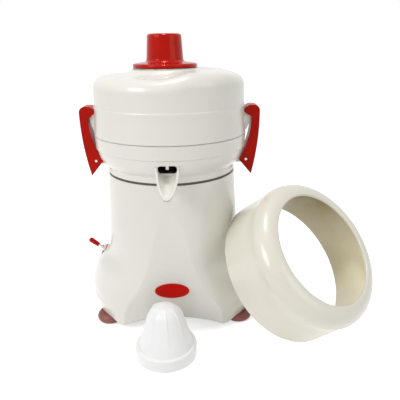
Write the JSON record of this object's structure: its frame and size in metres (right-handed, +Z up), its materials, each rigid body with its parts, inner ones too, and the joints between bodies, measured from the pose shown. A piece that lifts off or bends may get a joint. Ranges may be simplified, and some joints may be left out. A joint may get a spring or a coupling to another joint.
{
  "type": "juice extractor",
  "caption": "Countertop centrifugal juice extractor with a bell-shaped base, spouted bowl, latched lid and pusher, beside its citrus reamer and collar.",
  "frame": {"origin": "on the counter, in the plane of the feet, under the middle of the box round the machine, its reamer and its collar; the motor shaft stands at X -81.4 mm, Y 36.8 mm", "axes": "+Z up and parallel to the motor shaft, -Y toward the spout, +X to the side of the leaning collar"},
  "size_m": [0.4401, 0.2975, 0.4265],
  "materials": {
    "cream_enamel": "glossy stove enamel on a casting",
    "cream_collar": "glossy stove enamel on a spun ring",
    "red_plate": "enamelled sheet, bare",
    "grey_sheet": "plain painted sheet",
    "brown_rubber": "moulded rubber",
    "black_rubber": "moulded rubber",
    "zinc_steel": "zinc plated",
    "cast_aluminium": "as cast",
    "bearing_steel": "ground",
    "lamination_steel": "stacked sheet",
    "copper_winding": "varnished copper wire",
    "sieve_steel": "stainless sheet",
    "red_plastic": "moulded, polished",
    "red_latch": "moulded",
    "switch_black": "moulded",
    "nickel": "nickel plated",
    "white_plastic": "moulded",
    "clear_tube": "moulded"
  },
  "bodies": {
    "base": {"base_housing": "cream_enamel", "badge_plate": "red_plate", "bottom_plate": "grey_sheet", "rubber_feet": "brown_rubber", "foot_screws": "zinc_steel", "cord_gland": "black_rubber", "end_shield_lower": "cast_aluminium", "end_shield_upper": "cast_aluminium", "bearing_lower": "bearing_steel", "bearing_upper": "bearing_steel", "stator": "lamination_steel", "windings": "copper_winding", "tie_bolts": "zinc_steel", "tie_nuts": "zinc_steel", "motor_screws": "zinc_steel", "bowl_gasket": "black_rubber", "bowl": "cream_enamel", "spout": "cream_enamel", "bowl_screws": "zinc_steel", "shaft_seal": "black_rubber", "lid_gasket": "black_rubber", "latch_pins": "zinc_steel", "switch_body": "switch_black", "switch_barrel": "nickel", "switch_nut": "nickel", "switch_plate": "red_plate"},
    "rotor": {"rotor_core": "lamination_steel", "shaft": "bearing_steel", "cooling_fan": "cast_aluminium", "basket": "sieve_steel", "grater": "sieve_steel", "basket_nut": "nickel"},
    "lid": {"lid": "cream_enamel", "feed_tube": "clear_tube"},
    "pusher": {"pusher": "red_plastic", "pusher_cap": "red_plastic"},
    "latch_left": {"latch_left": "red_latch"},
    "latch_right": {"latch_right": "red_latch"},
    "toggle": {"toggle_lever": "nickel", "lever_cap": "red_plastic"},
    "reamer": {"reamer": "white_plastic"},
    "collar": {"collar": "cream_collar"}
  },
  "joints": [
    {"name": "rotor_spin", "type": "hinge", "parent": "base", "child": "rotor", "pos_m": [-0.0814, 0.0368, 0.14], "axis": [0, 0, 1], "continuous": true},
    {"name": "lid_lift", "type": "slide", "parent": "base", "child": "lid", "axis": [0, 0, 1], "range_m": [0, 0.04]},
    {"name": "pusher_lift", "type": "slide", "parent": "lid", "child": "pusher", "axis": [0, 0, 1], "range_m": [0, 0.1]},
    {"name": "latch_right_turn", "type": "hinge", "parent": "base", "child": "latch_right", "pos_m": [0.0316, 0.0368, 0.247], "axis": [0, 1, 0], "range_deg": [0, 60]},
    {"name": "latch_left_turn", "type": "hinge", "parent": "base", "child": "latch_left", "pos_m": [-0.1944, 0.0368, 0.247], "axis": [0, -1, 0], "range_deg": [0, 60]},
    {"name": "toggle_flip", "type": "hinge", "parent": "base", "child": "toggle", "pos_m": [-0.19758, 0.0368, 0.0979], "axis": [0, -1, 0], "range_deg": [0, 26]},
    {"name": "reamer_lift", "type": "slide", "parent": "base", "child": "reamer", "axis": [0, 0, 1], "range_m": [0, 0.1]},
    {"name": "collar_lift", "type": "slide", "parent": "base", "child": "collar", "axis": [0.5259, -0.5445, 0.6534], "range_m": [0, 0.15]}
  ],
  "couplings": [
    {"joint": "latch_right_turn", "follows": "lid_lift", "rad_per_m": 26.17},
    {"joint": "latch_left_turn", "follows": "lid_lift", "rad_per_m": 26.17}
  ]
}
